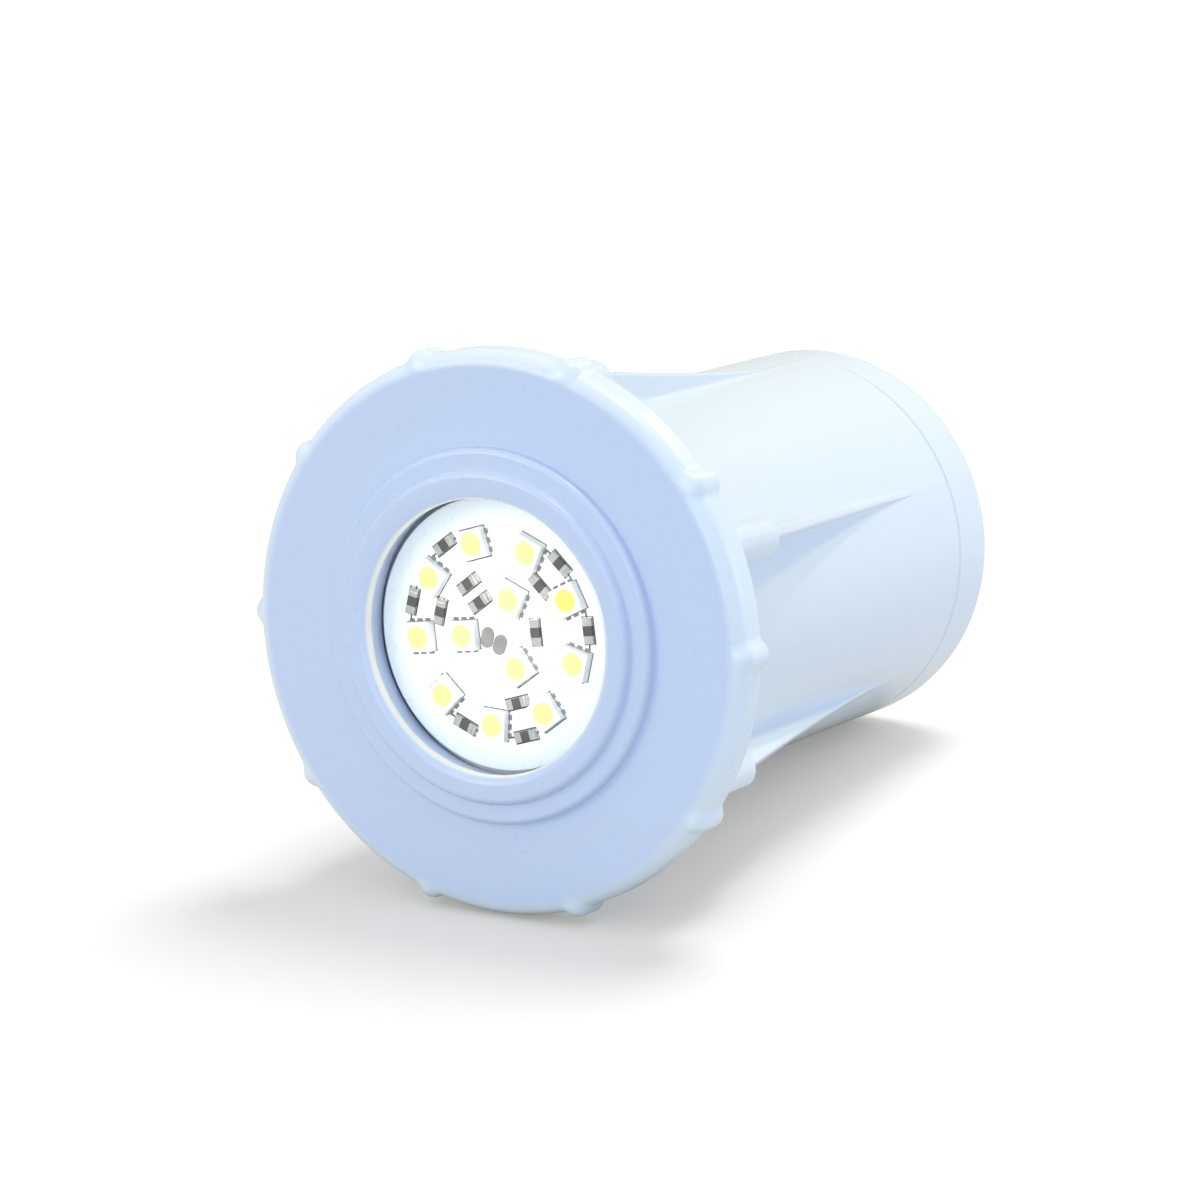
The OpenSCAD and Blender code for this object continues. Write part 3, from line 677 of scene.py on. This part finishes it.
def arc_track(builder, radius, start, stop, face_y):
    """A track that runs along the board's ring between two clock angles."""
    steps = 8
    sweep = stop - start
    points = [at_clock(start + sweep * k / steps, radius) for k in range(steps + 1)]
    add_strip(builder, points, False, face_y)


def build_tracks_and_gap_shade():
    """Thin dark strips: frames of painted shade around the LEDs and chips, partly also the solder mask's
    edge, and tracks in arcs that join them.
    """
    face_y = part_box("led_board")[0].y
    builder = bmesh.new()
    gap = DARK_STRIP_W * 0.6
    led_edge = math.atan2(LED_HALF, OUTER_LED_R)
    for i in range(OUTER_LEDS):
        gap_shade_frame(builder, OUTER_LED_R, LED_PHASE + i * LED_STEP, LED_HALF + gap, LED_HALF, face_y)
    for i in range(STRINGS):
        string = LED_PHASE + i * STRING_STEP
        gap_shade_frame(builder, INNER_LED_R, string, LED_HALF + gap, LED_HALF, face_y)
        first = string + LED_STEP / 2
        second = first + LED_STEP
        for angle, radius in ((first, OUTER_CHIP_R), (first, MIDDLE_CHIP_R), (second, OUTER_CHIP_R)):
            gap_shade_frame(builder, radius, angle, CHIP_HALF_W + gap, CHIP_HALF_LEN + gap, face_y)
            reach = math.atan2(CHIP_HALF_LEN, radius)
            arc_track(builder, radius, angle - LED_STEP / 2 + led_edge, angle - reach, face_y)
            arc_track(builder, radius, angle + reach, angle + LED_STEP / 2 - led_edge, face_y)
    for radius, clock in INNER_CHIPS:
        gap_shade_frame(builder, radius, math.radians(clock), CHIP_HALF_W + gap, CHIP_HALF_LEN + gap, face_y)
    finish_piece("board_tracks_and_gap_shade", builder, "track_copper", "sleeve")


# ---- Floor and light. Colours are linear, and each lamp has its own to suit the plastic's cool whites.

WHITE = (1, 1, 1, 1)
BLACK = (0, 0, 0, 1)
AMBIENT = (0.57, 0.60, 0.70, 1)
FLOOR_RADIUS = 1.6
FLOOR_SEEN = (0.92, 0.86, 0.74, 1)      # evens out the bluish ambient, so that shadows are grey
FLOOR_LIFT = (0.22, 0.22, 0.225, 1)     # lightens the shadows
FLOOR_FADE = (0.25, 0.6)                # distances between which the floor becomes plain white
FLOOR_BOUNCE = (0.80, 0.74, 0.60, 1)    # a warm light from below, as from a wide pale table

# name, place, size, energy, colour, strength of its highlights
PRODUCT_PANELS = (
    ("key_high", (0.20, 0.05, 1.05), 0.08, 2.9, (1.0, 0.86, 0.62), 0.3),
    ("key_rear", (0.25, 0.75, 0.75), 0.08, 3.0, (1.0, 0.98, 0.38), 0.3),
    ("front_left", (-0.6, -0.9, 0.5), 0.6, 3.6, (1.0, 0.92, 0.45), 0.5),
    ("front", (0.25, -1.1, 0.2), 0.5, 3.0, (0.28, 0.60, 1.0), 0.5),
    ("back_right", (0.9, 0.5, 0.15), 0.6, 3.0, (0.35, 0.60, 1.0), 0.2),
)
FLOOR_PANEL = ("floor_key", (0.15, 0.35, 1.1), 0.5, 7.0, (0.82, 0.88, 1.0), 0.0)


def seen_or_lighting(tree, seen, lighting):
    """One colour for what the camera sees directly and another for the light that reaches the object."""
    path = tree.nodes.new("ShaderNodeLightPath")
    mix = tree.nodes.new("ShaderNodeMix")
    mix.data_type = "RGBA"
    mix.inputs["A"].default_value = lighting
    mix.inputs["B"].default_value = seen
    tree.links.new(path.outputs["Is Camera Ray"], mix.inputs["Factor"])
    return mix.outputs["Result"]


def floor_white():
    """A matt white that shows soft shadows near the object and is plain white further out."""
    material, tree, shader = new_material("floor_white")
    shader.inputs["Roughness"].default_value = 0.9
    shader.inputs["Specular IOR Level"].default_value = 0.0
    shader.inputs["Emission Strength"].default_value = 1.0
    tree.links.new(seen_or_lighting(tree, FLOOR_SEEN, FLOOR_BOUNCE), shader.inputs["Base Color"])
    distance = tree.nodes.new("ShaderNodeVectorMath")
    distance.operation = "LENGTH"
    tree.links.new(tree.nodes.new("ShaderNodeTexCoord").outputs["Object"], distance.inputs[0])
    fade = tree.nodes.new("ShaderNodeMapRange")
    fade.inputs["From Min"].default_value = FLOOR_FADE[0]
    fade.inputs["From Max"].default_value = FLOOR_FADE[1]
    tree.links.new(distance.outputs["Value"], fade.inputs["Value"])
    mix = tree.nodes.new("ShaderNodeMix")
    mix.data_type = "RGBA"
    tree.links.new(fade.outputs["Result"], mix.inputs["Factor"])
    tree.links.new(seen_or_lighting(tree, FLOOR_LIFT, BLACK), mix.inputs["A"])
    tree.links.new(seen_or_lighting(tree, WHITE, BLACK), mix.inputs["B"])
    tree.links.new(mix.outputs["Result"], shader.inputs["Emission Color"])
    return material


def lay_floor():
    """A white floor that the light lies on, touching its rim and the edge of its rear cap."""
    rim_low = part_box("face_ring")[0]
    cap_low, cap_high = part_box("rear_cap")
    slope = math.atan2(cap_low.z - rim_low.z, cap_high.y - CAP_ROUND)
    up = Vector((0, -math.sin(slope), math.cos(slope)))
    resting = [v.co for name in ("face_ring", "rear_cap", "wall_sleeve") for v in NODES[name].data.vertices]
    mesh = bpy.data.meshes.new("floor")
    builder = bmesh.new()
    bmesh.ops.create_circle(builder, cap_ends=True, segments=96, radius=FLOOR_RADIUS)
    builder.to_mesh(mesh)
    builder.free()
    floor = bpy.data.objects.new("floor", mesh)
    bpy.context.scene.collection.objects.link(floor)
    floor.rotation_mode = "QUATERNION"
    floor.rotation_quaternion = up.to_track_quat("Z", "Y")
    floor.location = up * min(up.dot(point) for point in resting)
    mesh.materials.append(floor_white())
    floor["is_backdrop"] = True
    return floor


def receivers(name, objects):
    """A collection that a light can be limited to."""
    group = bpy.data.collections.new(name)
    for one in objects:
        group.objects.link(one)
    return group


def place_light(name, kind, place, target, energy, colour, only):
    """A light that shines on one group of objects and isn't seen itself."""
    data = bpy.data.lights.new(name, kind)
    data.energy = energy
    data.color = colour
    light = bpy.data.objects.new(name, data)
    bpy.context.scene.collection.objects.link(light)
    light.visible_camera = False
    light.location = place
    light.rotation_mode = "QUATERNION"
    light.rotation_quaternion = (Vector(target) - Vector(place)).to_track_quat("-Z", "Y")
    light.light_linking.receiver_collection = only
    return data


def add_panel(only, name, place, size, energy, colour, gloss):
    """A round soft panel aimed at the middle of the object."""
    middle = (0, 0.04, 0)
    data = place_light(name, "AREA", place, middle, energy, colour, only)
    data.shape = "DISK"
    data.size = size
    data.specular_factor = gloss


def add_window_spot(only):
    """A narrow spot that reaches the LED board through the window."""
    place = (0.085, -0.48, 0.075)
    board_middle = (0, -0.004, 0)
    data = place_light("window_spot", "SPOT", place, board_middle, 12.0, (1.0, 0.85, 0.66), only)
    data.spot_size = math.radians(5.2)
    data.spot_blend = 0.35
    data.shadow_soft_size = 0.01
    data.specular_factor = 0.2


def add_bore_light(only):
    """A small lamp in the window's chamber, for the light that the white board sends to its wall."""
    chamber_middle = (0, -0.0068, 0)
    board_middle = (0, 0, 0)
    data = place_light("bore_light", "POINT", chamber_middle, board_middle, 0.006, (1, 0.95, 0.8), only)
    data.shadow_soft_size = 0.003
    data.specular_factor = 0.2


def light_studio(floor):
    world = bpy.data.worlds.new("studio")
    bpy.context.scene.world = world
    world.use_nodes = True
    tree = world.node_tree
    tree.links.new(seen_or_lighting(tree, WHITE, AMBIENT), tree.nodes["Background"].inputs["Color"])
    add_panel(receivers("ground", [floor]), *FLOOR_PANEL)
    product = receivers("product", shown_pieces())
    for panel in PRODUCT_PANELS:
        add_panel(product, *panel)
    ring = bpy.data.objects["face_ring_body"]
    add_window_spot(receivers("board_side", [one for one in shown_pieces() if one != ring]))
    add_bore_light(receivers("chamber", [ring, NODES["lens_gasket"]]))


aim_camera()
dress_cad_nodes()
soften_edges()
build_wall_sleeve()
build_face_ring()
build_tracks_and_gap_shade()
light_studio(lay_floor())
bpy.context.scene.view_settings.view_transform = "Standard"
